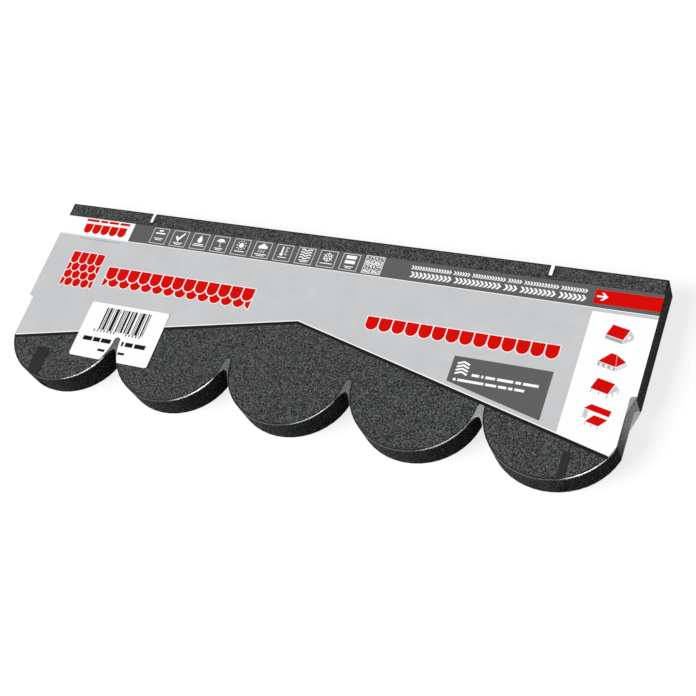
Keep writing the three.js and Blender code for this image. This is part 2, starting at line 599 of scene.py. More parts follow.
def edit(piece: Object, pick: Pick, wanted: Callable[[object], bool] | None, *steps: Step) -> None:
    """Selects parts of a mesh, runs edit-mode steps on them and comes back to object mode.

    Args:
        piece: the mesh object.
        pick: what is picked.
        wanted: says whether a vertex or a face is picked, or nothing where all are.
        steps: the steps, in order.
    """
    make_active(piece)
    bpy.context.tool_settings.mesh_select_mode = (pick is Pick.VERTICES, False, pick is Pick.FACES)
    mesh = piece.data
    for part in (*mesh.vertices, *mesh.edges, *mesh.polygons):
        part.select = False
    for part in mesh.vertices if pick is Pick.VERTICES else mesh.polygons:
        part.select = wanted is None or wanted(part)
    bpy.ops.object.mode_set(mode="EDIT")
    for step in steps:
        step()
    bpy.ops.object.mode_set(mode="OBJECT")


def merging(distance_mm: float) -> Step:
    """The edit step that merges vertices closer than that."""
    return partial(bpy.ops.mesh.remove_doubles, threshold=distance_mm * MM)


def deleting(pick: Pick) -> Step:
    """The edit step that deletes the selected vertices or faces."""
    return partial(bpy.ops.mesh.delete, type=pick.value)


def copy_of_node(node: Object, name: str, merge_mm: float = 0.01, flat_deg: float = 0.5
                 ) -> Object:
    """A separate, merged and tidied copy of a CAD node, with flat areas as single faces.

    Args:
        node: the CAD node's object.
        name: the copy's name.
        merge_mm: how close vertices are that become one.
        flat_deg: the angle up to which faces count as flat.

    Returns:
        The copy, in object mode.
    """
    piece = new_object(name, node.data.copy())
    piece.data.materials.clear()
    edit(piece, Pick.VERTICES, None, merging(merge_mm),
         partial(bpy.ops.mesh.dissolve_limited, angle_limit=math.radians(flat_deg)))
    return piece


def raise_lines(name: str, lines: Iterable[Sequence[Point]], height_mm: float, middle_z: float, closed: bool
                ) -> Object:
    """Raises flat lines into a mesh: filled where they are closed, and bare walls where not.

    Args:
        name: the mesh object's name.
        lines: the points of each line, in millimetres.
        height_mm: how tall the mesh is.
        middle_z: the height of its middle, in metres.
        closed: whether the lines are outlines.

    Returns:
        The mesh object, with its place in its mesh.
    """
    curve = bpy.data.curves.new(name, "CURVE")
    curve.dimensions = "2D"
    curve.fill_mode = "BOTH"
    curve.extrude = height_mm * MM / 2
    for line in lines:
        spline = curve.splines.new("POLY")
        spline.points.add(len(line) - 1)
        for point, (x, y) in zip(spline.points, line):
            point.co = (x * MM, y * MM, 0, 1)
        spline.use_cyclic_u = closed
    piece = new_object(name, curve)
    piece.location.z = middle_z
    bpy.ops.object.convert(target="MESH")
    bpy.ops.object.transform_apply(location=True, rotation=True, scale=True)
    return bpy.context.object


def finish_piece(piece: Object, slot: str, *stands_for: str) -> None:
    """Puts a piece on the bundle's one body and hides the CAD nodes that it replaces.

    Args:
        piece: the piece, in place.
        slot: a material slot's name; not used.
        stands_for: CAD nodes that it replaces.
    """
    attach(piece, "root")
    if stands_for:
        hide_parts(*stands_for)
    log.info("%s: %d faces", piece.name, len(piece.data.polygons))


# ---------------------------------------------------------------- flat shapes for print

def rect(x0: float, y0: float, x1: float, y1: float) -> list[Point]:
    """A rectangle between two corners."""
    return [(x0, y0), (x1, y0), (x1, y1), (x0, y1)]


def arc(cx: float, cy: float, r: float, start: float, end: float, steps: int = 12) -> list[Point]:
    """Points of a circular arc, angles in degrees, both ends included."""
    angles = [math.radians(start + (end - start) * i / steps) for i in range(steps + 1)]
    return [(cx + r * math.cos(a), cy + r * math.sin(a)) for a in angles]


def moved(points: Iterable[Point], dx: float, dy: float) -> list[Point]:
    """The same points, moved."""
    return [(x + dx, y + dy) for x, y in points]


def band(points: Sequence[Point], width: float, sharpest: float = 0.3) -> list[Point]:
    """A stripe of even width along a line, with mitred corners.

    Args:
        points: the line's points.
        width: the stripe's width.
        sharpest: cosine of half the sharpest turn that still gets a full mitre.

    Returns:
        The stripe's outline.
    """
    left, right = [], []
    places = [Vector(point) for point in points]
    for before, here, after in zip(places[:1] + places, places, places[1:] + places[-1:]):
        steps = [(b - a).normalized() for a, b in ((before, here), (here, after)) if (b - a).length > 0]
        along = sum(steps, Vector((0, 0))).normalized()
        across = Vector((-along.y, along.x))
        reach = width / 2 / max(abs(across.dot(Vector((-steps[0].y, steps[0].x)))), sharpest)
        left.append(tuple(here + across * reach))
        right.append(tuple(here - across * reach))
    return left + right[::-1]


def word_bars(x: float, y: float, height: float, lengths: Sequence[float], gap: float) -> Outlines:
    """A row of plain bars in place of words.

    Args:
        x: left end.
        y: foot.
        height: of the bars.
        lengths: of each bar.
        gap: between two bars.

    Returns:
        One outline a bar.
    """
    bars = []
    for length in lengths:
        bars.append(rect(x, y, x + length, y + height))
        x += length + gap
    return bars


def chevrons(x: float, y: float, height: float, pitch: float, groups: Sequence[int], pause: float,
             body: float = 0.56, tip: float = 0.42) -> Outlines:
    """Groups of small arrowheads that point along +X.

    Args:
        x: left end.
        y: foot.
        height: of an arrowhead.
        pitch: from one to the next.
        groups: how many in each group.
        pause: extra room after a group.
        body: an arrowhead's width without its tip, as a share of the pitch.
        tip: how far its tip reaches, as a share of the height.

    Returns:
        One outline an arrowhead.
    """
    width, reach, half = pitch * body, height * tip, height / 2
    head = [(0, 0), (width, 0), (width + reach, half), (width, height), (0, height), (reach, half)]
    shapes = []
    for count in groups:
        for _ in range(count):
            shapes.append(moved(head, x, y))
            x += pitch
        x += pause
    return shapes


@dataclass
class TileField:
    """Beaver tails laid as on a roof: each row half a tile along from the one above, sides flush."""

    left: float
    top: float
    radius: float
    gap: float
    lap: float
    columns: int
    rows: int = 1
    tail_steps: int = 8
    tuck_steps: int = 5
    backing_steps: int = 10

    @property
    def side(self) -> float:
        """From a tile's centre line to the middle of the joint beside it."""
        return self.radius + self.gap / 2

    def row_centres(self, row: int) -> tuple[float, list[float]]:
        """Places a row's tiles.

        Args:
            row: the row, from the top.

        Returns:
            The height of the round ends, and the tiles' centre lines, cut ones included.
        """
        shifted = row % 2
        start = self.left - self.gap / 2 if shifted else self.left + self.radius
        centres = [start + 2 * self.side * i for i in range(self.columns + shifted)]
        return self.top - (row + 1) * self.lap, centres

    def half(self, cx: float, cy: float, inner: float, tucked: bool) -> list[Point]:
        """The right half of a tile.

        Args:
            cx: x of the tile's centre line.
            cy: y of its round end's centre.
            inner: how far right of the centre line the half starts.
            tucked: whether a row above covers its upper edge.

        Returns:
            Points from the foot round the right side to the top.
        """
        foot = math.degrees(math.acos(inner / self.radius))
        points = arc(cx, cy, self.radius, -foot, 0, self.tail_steps)
        if not tucked:
            return points + [(cx + self.radius, cy + self.lap), (cx + inner, cy + self.lap)]
        reach = self.radius + self.gap
        from_side = math.degrees(math.acos((self.radius - self.side) / reach))
        to_top = math.degrees(math.acos((inner - self.side) / reach))
        return points + arc(cx + self.side, cy + self.lap, reach, -from_side, -to_top, self.tuck_steps)

    def tiles(self) -> Outlines:
        """Draws the tiles.

        Returns:
            One outline a tile, half ones at the ends of every second row.
        """
        shapes = []
        for row in range(self.rows):
            cy, centres = self.row_centres(row)
            for i, cx in enumerate(centres):
                cut_left, cut_right = row % 2 == 1 and i == 0, row % 2 == 1 and i == len(centres) - 1
                inner = self.gap / 2 if cut_left or cut_right else 0.0
                right = self.half(cx, cy, inner, row > 0)
                left = [(2 * cx - x, y) for x, y in right][::-1]
                shapes.append(right if cut_left else left if cut_right else left + right[1:-1])
        return shapes

    def backing(self, halo: float) -> list[Point]:
        """Draws what the tiles stand out from.

        Args:
            halo: how far it reaches beyond the tiles.

        Returns:
            One outline round all the tiles.
        """
        cy, centres = self.row_centres(self.rows - 1)
        reach = self.radius + halo
        left, top = self.left - halo, self.top + halo
        right = self.left + self.columns * 2 * self.side - self.gap + halo
        points = [(left, top), (right, top)]
        for i, cx in reversed(list(enumerate(centres))):
            to_right = self.side if i < len(centres) - 1 else right - cx
            to_left = self.side if i else cx - left
            start, end = (math.degrees(math.acos(min(way / reach, 1.0))) for way in (to_right, to_left))
            points += arc(cx, cy, reach, -start, end - 180, self.backing_steps)
        return points


# ---------------------------------------------------------------- the shingles

def across_circle(share: float) -> float:
    """How far a circle reaches at that share of its radius off its centre, as a share too."""
    return math.sqrt(max(0.0, 1 - share * share))


@dataclass(frozen=True)
class StripPlan:
    """Plan of one strip, in millimetres, as the film and the print need it."""

    half_length: float = 500.0
    back: float = 158.5
    tab_root: float = -69.5
    tab_depth: float = 89.0
    tab_half_width: float = 95.5
    pitch: float = 200.0
    tabs: int = 5
    end_notch_width: float = 8.5
    end_notch_top: float = -21.5
    end_notch_fillet: float = 5.0
    fillet_steps: int = 6
    flank_step: float = 1.5
    slit_centre: float = 337.0
    slit_width: float = 5.0
    slit_depth: float = 17.0

    def tab_centre(self, index: int) -> float:
        """X of a tab's centre line."""
        return (index + 0.5) * self.pitch - self.half_length

    def front(self, x: float) -> float:
        """Finds the tabs' front edge.

        Args:
            x: where along the strip.

        Returns:
            Y of the edge there.
        """
        index = min(max(int((x + self.half_length) // self.pitch), 0), self.tabs - 1)
        across = (x - self.tab_centre(index)) / self.tab_half_width
        return self.tab_root - self.tab_depth * across_circle(across)

    def flank(self, y: float) -> float:
        """Finds the right end tab's outer flank.

        Args:
            y: where across the strip.

        Returns:
            X of the flank there.
        """
        down = max(0.0, self.tab_root - y) / self.tab_depth
        curve = self.tab_centre(self.tabs - 1) + self.tab_half_width * across_circle(down)
        return min(curve, self.half_length - self.end_notch_width)

    def right_end(self, top: float, bottom: float) -> list[Point]:
        """Follows the strip's right-hand outline.

        Args:
            top: y where it starts.
            bottom: y where it ends.

        Returns:
            Its points from top to bottom.
        """
        wall, r = self.half_length - self.end_notch_width, self.end_notch_fillet
        points = [(self.half_length, top), (self.half_length, self.end_notch_top)]
        points += arc(wall + r, self.end_notch_top - r, r, 90, 180, self.fillet_steps)
        y = self.front(wall)
        steps = max(round((y - bottom) / self.flank_step), 1)
        levels = [y + (bottom - y) * i / steps for i in range(steps + 1)]
        return points + [(self.flank(level), level) for level in levels]


PLAN = StripPlan()


@dataclass
class ShingleStack:
    """The punched strips, one on another."""

    felt: GranuleFelt = GranuleFelt()
    rim: BareBitumen = BareBitumen()
    strip_names: str = "shingle_"
    top_strip: str = "shingle_14"
    rim_width_mm: float = 2.0
    rim_height_mm: float = 0.05
    rim_clear_mm: float = 0.02
    facing_up: float = 0.9

    def dress(self, nodes: CadNodes) -> None:
        """Gives every strip its granules and cut edges, and the top one its crumbled rim.

        Args:
            nodes: the CAD nodes by name.
        """
        strips = [name for name in nodes if name.startswith(self.strip_names)]
        heights = [corner[2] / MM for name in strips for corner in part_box(name)]
        felt = replace(self.felt, foot_mm=min(heights), top_mm=max(heights))
        for name in strips:
            paint(nodes[name], felt)
            log.info("dressed %s", name)
        self.crumbled_rim(nodes[self.top_strip])

    def crumbled_rim(self, strip: Object) -> None:
        """Makes a thin dark border along the top strip's cut, where the stones are gone.

        Args:
            strip: the top strip's CAD node.
        """
        piece = copy_of_node(strip, "top_strip_rim")
        inset = partial(bpy.ops.mesh.inset, thickness=self.rim_width_mm * MM, use_boundary=True)
        edit(piece, Pick.FACES, lambda face: face.normal.z < self.facing_up, deleting(Pick.FACES))
        edit(piece, Pick.FACES, None, inset, deleting(Pick.FACES))
        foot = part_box(self.top_strip)[1][2] + self.rim_clear_mm * MM
        for vertex in piece.data.vertices:
            vertex.co.z = foot
        piece.data.update()
        modify(piece, "SOLIDIFY", thickness=self.rim_height_mm * MM, offset=1)
        paint(piece, self.rim)
        finish_piece(piece, "bitumen_shingle")


# ---------------------------------------------------------------- the film

class Keep(Enum):
    """Which part of the film a cut keeps: over the strips, or beyond their plan."""

    OVER = "INTERSECT"
    BEYOND = "DIFFERENCE"


@dataclass
class FilmSleeve:
    """The shrink film: tight over the stack, rounded at its edges, stretched across the slots.

    Beside a slot the film leaves the strips and bridges the gap in a web. The shoulders are painted
    white as a highlight where they face the front right: the left ones are glossier, the middle
    ones less glossy with a dimmer painted highlight, and over the left end notch the film is
    crumpled white. Cosines of a face's slope tell its upright, level and end-on faces apart.
    """

    film_node: str = "shrink_film"
    top_strip: str = "shingle_14"
    slot: str = "shrink_film"
    shoulder_mm: float = 2.5
    shoulder_steps: int = 5
    sheet_mm: float = 0.12
    smooth_deg: float = 35.0
    cutter_reach_mm: float = 5.0
    merge_mm: float = 0.002
    hair_mm: float = 0.1
    crease: float = 0.5
    web_half_width: float = 12.0
    web_front: float = -105.5
    # Along the strips, where the glossier and the dimmer painted highlights on the shoulders end.
    glossy_highlight_up_to: float = -100.0
    dim_highlight_up_to: float = 300.0
    notch_from_mm: float = 1.0
    flush_mm: float = 0.3
    upright: float = 0.1
    level: float = 0.9
    end_on: float = 0.99

    def build(self, nodes: CadNodes) -> Object:
        """Makes the film's pieces and hides the plain CAD sleeve.

        Args:
            nodes: the CAD nodes by name.

        Returns:
            The film beyond the strips' plan.
        """
        skin = self.outer_skin(nodes[self.film_node])
        self.round_shoulders(skin)
        modify(skin, "SOLIDIFY", thickness=self.sheet_mm * MM, offset=-1)
        prism = self.cutter(nodes[self.top_strip])
        sheet = self.cut(skin, prism, Keep.OVER, "film_sheet")
        folds = self.cut(skin, prism, Keep.BEYOND, "film_folds")
        for extra in (skin, prism):
            bpy.data.objects.remove(extra, do_unlink=True)
        clear, *on_folds = Film
        paint(sheet, clear.value)
        paint(folds, *(film.value for film in on_folds))
        shoulder_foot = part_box(self.film_node)[1][2] - self.shoulder_mm * MM
        for face in folds.data.polygons:
            face.material_index = on_folds.index(self.finish_of(face, shoulder_foot))
        for piece in (sheet, folds):
            make_active(piece)
            bpy.ops.object.shade_smooth_by_angle(angle=math.radians(self.smooth_deg))
        finish_piece(sheet, self.slot)
        finish_piece(folds, self.slot, self.film_node)
        return folds

    def outer_skin(self, node: Object) -> Object:
        """The film's outer surface alone, open at both ends.

        Args:
            node: the CAD film.

        Returns:
            An open shell of single thickness.
        """
        low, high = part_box(self.film_node)
        piece = copy_of_node(node, "film_skin")
        hair = self.hair_mm * MM

        def on_end(face: MeshPolygon) -> bool:
            """Whether a face closes the film's left or right end."""
            off_end = min(abs(face.center.x - low[0]), abs(face.center.x - high[0]))
            return abs(face.normal.x) > self.end_on and off_end < hair

        edit(piece, Pick.VERTICES, lambda vertex: low[2] + hair < vertex.co.z < high[2] - hair,
             deleting(Pick.VERTICES))
        edit(piece, Pick.FACES, on_end, deleting(Pick.FACES))
        return piece

    def round_shoulders(self, piece: Object) -> None:
        """Rounds the edges between the flat sheets and the walls.

        Args:
            piece: the film's outer skin.
        """
        mesh = piece.data
        uses: dict[tuple[int, int], list[float]] = {}
        for face in mesh.polygons:
            for key in face.edge_keys:
                uses.setdefault(key, []).append(abs(face.normal.z))
        weight = mesh.attributes.new("bevel_weight_edge", "FLOAT", "EDGE")
        for i, edge in enumerate(mesh.edges):
            slopes = uses[tuple(sorted(edge.vertices))]
            weight.data[i].value = float(len(slopes) == 2 and abs(slopes[0] - slopes[1]) > self.crease)
        modify(piece, "BEVEL", limit_method="WEIGHT", width=self.shoulder_mm * MM,
               segments=self.shoulder_steps, use_clamp_overlap=False)

    def cutter(self, strip: Object) -> Object:
        """The strips' plan as a solid that is taller than the film.

        Args:
            strip: the top strip's CAD node.

        Returns:
            The tall solid.
        """
        piece = copy_of_node(strip, "film_cutter")
        middle = sum(corner[2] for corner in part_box(self.top_strip)) / 2
        low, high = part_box(self.film_node)
        reach = self.cutter_reach_mm * MM
        for vertex in piece.data.vertices:
            vertex.co.z = high[2] + reach if vertex.co.z > middle else low[2] - reach
        return piece

    def cut(self, skin: Object, prism: Object, keep: Keep, name: str) -> Object:
        """Copies one part of the film.

        Args:
            skin: the whole film.
            prism: the strips' plan, as a tall solid.
            keep: the part.
            name: the new piece's name.

        Returns:
            The new piece.
        """
        piece = new_object(name, skin.data.copy())
        modify(piece, "BOOLEAN", operation=keep.value, object=prism, solver="MANIFOLD")
        edit(piece, Pick.VERTICES, None, merging(self.merge_mm))
        return piece

    def on_web(self, x: float, y: float) -> bool:
        """Whether a place, in millimetres, is on the film across a slot.

        Args:
            x: the place along the strips.
            y: the place across them.

        Returns:
            True on a web.
        """
        half_pitch = PLAN.pitch / 2
        to_slot = (x + PLAN.half_length + half_pitch) % PLAN.pitch - half_pitch
        between_tabs = abs(x) < PLAN.half_length - half_pitch
        return abs(to_slot) < self.web_half_width and between_tabs and y > self.web_front

    def finish_of(self, face: MeshPolygon, shoulder_foot: float) -> Film:
        """Which of the folds' finishes a face has.

        Args:
            face: the face.
            shoulder_foot: the height that the upper shoulders start from.

        Returns:
            The finish.
        """
        x, y = face.center.x / MM, face.center.y / MM
        if y > PLAN.end_notch_top + self.notch_from_mm:
            return Film.WALL
        if abs(x) > PLAN.half_length - PLAN.end_notch_width + self.flush_mm:
            if abs(face.normal.z) < self.upright:
                return Film.END_WALL
            return Film.NICK if x < 0 else Film.WEB
        if face.center.z > shoulder_foot:
            if abs(face.normal.z) > self.level or self.on_web(x, y):
                return Film.WEB
            # The shoulders carry a painted highlight: glossier on the left tabs, dimmer on the middle ones.
            if x < self.glossy_highlight_up_to:
                return Film.LOOSE_SHOULDER
            return Film.TIGHT_SHOULDER if x < self.dim_highlight_up_to else Film.SHOULDER
        return Film.WALL


# ---------------------------------------------------------------- the print

@dataclass
class InkSheet:
    """Flat filled shapes of one ink, in millimetres, made into one thin closed mesh.

    Shapes of one sheet do not overlap, except that a shape inside another is a hole in it.
    """

    name: str
    ink: Ink
    level: int
    base_z: float
    slot: str = "shrink_film"
    thickness_mm: float = 0.04
    step_mm: float = 0.05
    clear_mm: float = 0.03
    merge_mm: float = 0.001

    def build(self, shapes: Outlines) -> None:
        """Fills the shapes and lays them on the film.

        Args:
            shapes: closed outlines in millimetres.
        """
        middle = self.base_z + (self.clear_mm + self.level * self.step_mm + self.thickness_mm / 2) * MM
        piece = raise_lines(self.name, shapes, self.thickness_mm, middle, closed=True)
        edit(piece, Pick.VERTICES, None, merging(self.merge_mm),
             partial(bpy.ops.mesh.normals_make_consistent, inside=False))
        paint(piece, self.ink.value)
        finish_piece(piece, self.slot)


@dataclass
class FilmPrint:
    """The print on the film's top face. It names nobody: words are plain bars.

    Sizes are in millimetres on the plan. Inks that lie side by side leave a joint between them.
    """

    top_z: float
    print_back: float = 134.8
    header_front: float = 99.8
    header_line: float = 1.2
    joint: float = 0.1
    peak: Point = (-14.0, 8.5)
    left_foot: Point = (-488.8, -95.2)
    right_foot: Point = (484.6, -110.4)
    panel_left: float = 409.8
    panel_back: float = 95.3
    white_box_right: float = -364.0
    flash_left: float = 407.0
    flash_front: float = 107.2
    flash_back: float = 129.2
    edge_white: float = 1.6
    edge_black: float = 4.7
    halo: float = 1.2
    info_left: float = 240.0
    info_right: float = 383.2
    info_top: float = -5.2
    info_lift: float = 7.2
    sign_sheets: int = 4
    sign_step: float = 5.2
    sign_line: float = 2.8
    eye_marks: tuple[tuple[str, float, float, float], ...] = (
        ("left", -437.0, -414.0, -107.5), ("right", 426.2, 436.0, -115.2))
    mark_from_top: float = 3.0
    mark_drop: float = 39.0
    mark_sheet: float = 0.06
    mark_steps: int = 8
    under_film: float = 0.5

    def lay(self, name: str, ink: Ink, level: int, shapes: Outlines) -> None:
        """Lays shapes of one ink on the film, on top of the inks of lower levels."""
        InkSheet("print_" + name, ink, level, self.top_z).build(shapes)

    def boundary(self, x: float, below: float = 0.0) -> float:
        """Follows the grey field's slanting front edge.

        Args:
            x: where along the strips.
            below: how far in front of the edge.

        Returns:
            Y of that line there.
        """
        foot = self.left_foot if x < self.peak[0] else self.right_foot
        slope = (foot[1] - self.peak[1]) / (foot[0] - self.peak[0])
        return self.peak[1] + slope * (x - self.peak[0]) - below

    def build(self) -> None:
        """Lays all the print."""
        self.fields()
        self.header()
        self.edge_lines()
        self.tile_rows()
        self.info_box()
        RoofPictures(self).build()
        self.register_marks()

    def fields(self) -> None:
        """The light grey field and the white right-hand panel."""
        right = PLAN.right_end(self.panel_back, self.right_foot[1])
        left = [(-x, y) for x, y in PLAN.right_end(self.header_front, self.left_foot[1])][::-1]
        end, side, back = PLAN.half_length, self.panel_left - self.joint, self.panel_back + self.joint
        foot = self.boundary(self.panel_left)
        field = [*left, (end, self.header_front), (end, back), (side, back), (side, foot), self.peak]
        self.lay("field", Ink.LIGHT_GREY, 0, [field])
        panel = [(self.panel_left, self.panel_back), *right, (self.panel_left, foot)]
        self.lay("side_panel", Ink.WHITE, 0, [panel])

    def header(self) -> None:
        """The dark header band with its pictograms, bars and red flash."""
        end, white_line = PLAN.half_length, self.header_front + self.joint
        band_front = white_line + self.header_line + self.joint
        self.lay("header_band", Ink.DARK_GREY, 0, [
            rect(self.white_box_right, band_front, end, self.print_back)])
        self.lay("header_white", Ink.WHITE, 0, [
            rect(-end, white_line, end, white_line + self.header_line),
            rect(-end, band_front, self.white_box_right - self.joint, self.print_back)])
        self.lay("header_red_tiles", Ink.RED, 1, [
            *word_bars(x=-459.5, y=128.4, height=4.6, lengths=(25, 14, 19, 19), gap=3),
            *TileField(left=-457.5, top=124.0, radius=7.6, gap=1.6, lap=10.4, columns=5).tiles()])
        self.lay("header_chevrons", Ink.WHITE, 1, [
            *chevrons(x=130.6, y=121.2, height=6.2, pitch=4.2, groups=(15, 6, 12, 5, 12, 9), pause=3.4),
            *chevrons(x=132.2, y=107.6, height=9.8, pitch=6.4, groups=(10, 11, 3, 8, 6), pause=5.0)])
        self.lay("header_red_flash", Ink.RED, 1, [
            rect(self.flash_left, self.flash_front, end, self.flash_back)])
        arrow = [(410.4, 117.4), (420.4, 117.4), (415.9, 112.6), (419.4, 112.6), (425.9, 118.7),
                 (419.4, 124.8), (415.9, 124.8), (420.4, 120.0), (410.4, 120.0)]
        self.lay("header_arrow", Ink.WHITE, 2, [arrow])
        self.lay("field_note", Ink.SHADE, 1, word_bars(
            x=-456.6, y=94.4, height=1.8, lengths=(24, 14, 18, 19), gap=2))
        Pictograms(self).build()

    def edge_lines(self) -> None:
        """The white and black lines along the field's slanting front edge."""
        bends = (self.left_foot[0], self.peak[0], self.right_foot[0])
        for name, ink, level, back, front in (("edge_white_line", Ink.WHITE, 1, -self.edge_white, 0),
                                              ("edge_black_line", Ink.BLACK, 0, self.joint, self.edge_black)):
            upper, lower = ([(x, self.boundary(x, below)) for x in bends] for below in (back, front))
            self.lay(name, ink, level, [upper + lower[::-1]])

    def tile_rows(self) -> None:
        """Plain red rows of beaver tails, where a pack has its large words."""
        fields = dict(
            block=TileField(left=-454.5, top=69.5, radius=7.2, gap=1.6, lap=14.2, columns=4, rows=4),
            rows=TileField(left=-375.0, top=50.0, radius=9.6, gap=1.9, lap=12.6, columns=13, rows=2),
            row=TileField(left=92.5, top=34.8, radius=9.5, gap=1.8, lap=12.0, columns=14))
        for name, field in fields.items():
            self.lay(f"red_tile_{name}_halo", Ink.WHITE, 1, [field.backing(self.halo)])
            self.lay(f"red_tile_{name}", Ink.RED, 2, field.tiles())

    def info_box(self) -> None:
        """The dark box by the slanting edge, with a stack sign and bars."""
        x0, x1, top = self.info_left, self.info_right, self.info_top
        foot = [(x, self.boundary(x, -self.info_lift)) for x in (x0, x1)]
        self.lay("info_box", Ink.DARK_GREY, 1, [[*foot, (x1, top), (x0, top)]])
        bent_sheet = band([(8, -11), (17, -7.4), (26, -11)], self.sign_line)
        self.lay("info_marks", Ink.WHITE, 2, [
            *(moved(bent_sheet, x0, top - self.sign_step * i) for i in range(self.sign_sheets)),
            *word_bars(x=x0 + 33, y=top - 27.4, height=4.0, lengths=(11, 3, 14, 23, 8, 22), gap=3),
            *word_bars(x=x0 + 8.5, y=top - 37.6, height=3.8, lengths=(4, 38, 16, 12, 6, 14), gap=2.6)])

    def register_marks(self) -> None:
        """Dark eye marks on the end tabs, and white bars over the slits in the back edge."""
        marks = []
        for name, x0, x1, top in self.eye_marks:
            marks.append([(x0, top), (x1, top), (x1, PLAN.front(x1)), (x0, PLAN.front(x0))])
            self.mark_down_side(f"eye_mark_side_{name}", x0, x1)
        self.lay("eye_marks", Ink.MARK, 0, marks)
        half = PLAN.slit_width / 2
        self.lay("slit_marks", Ink.WHITE, 0, [
            rect(x - half, PLAN.back - PLAN.slit_depth, x + half, PLAN.back)
            for x in (-PLAN.slit_centre, PLAN.slit_centre)])

    def mark_down_side(self, name: str, x0: float, x1: float) -> None:
        """Makes the rest of an eye mark, where the film folds down over the tab's side.

        Args:
            name: the piece's name.
            x0: the mark's left side.
            x1: its right side.
        """
        places = [x0 + (x1 - x0) * i / self.mark_steps for i in range(self.mark_steps + 1)]
        line = [(x, PLAN.front(x) - self.under_film) for x in places]
        middle = self.top_z - (self.mark_from_top + self.mark_drop / 2) * MM
        piece = raise_lines(name, [line], self.mark_drop, middle, closed=False)
        modify(piece, "SOLIDIFY", thickness=self.mark_sheet * MM)
        paint(piece, Ink.MARK.value)
        finish_piece(piece, "shrink_film")


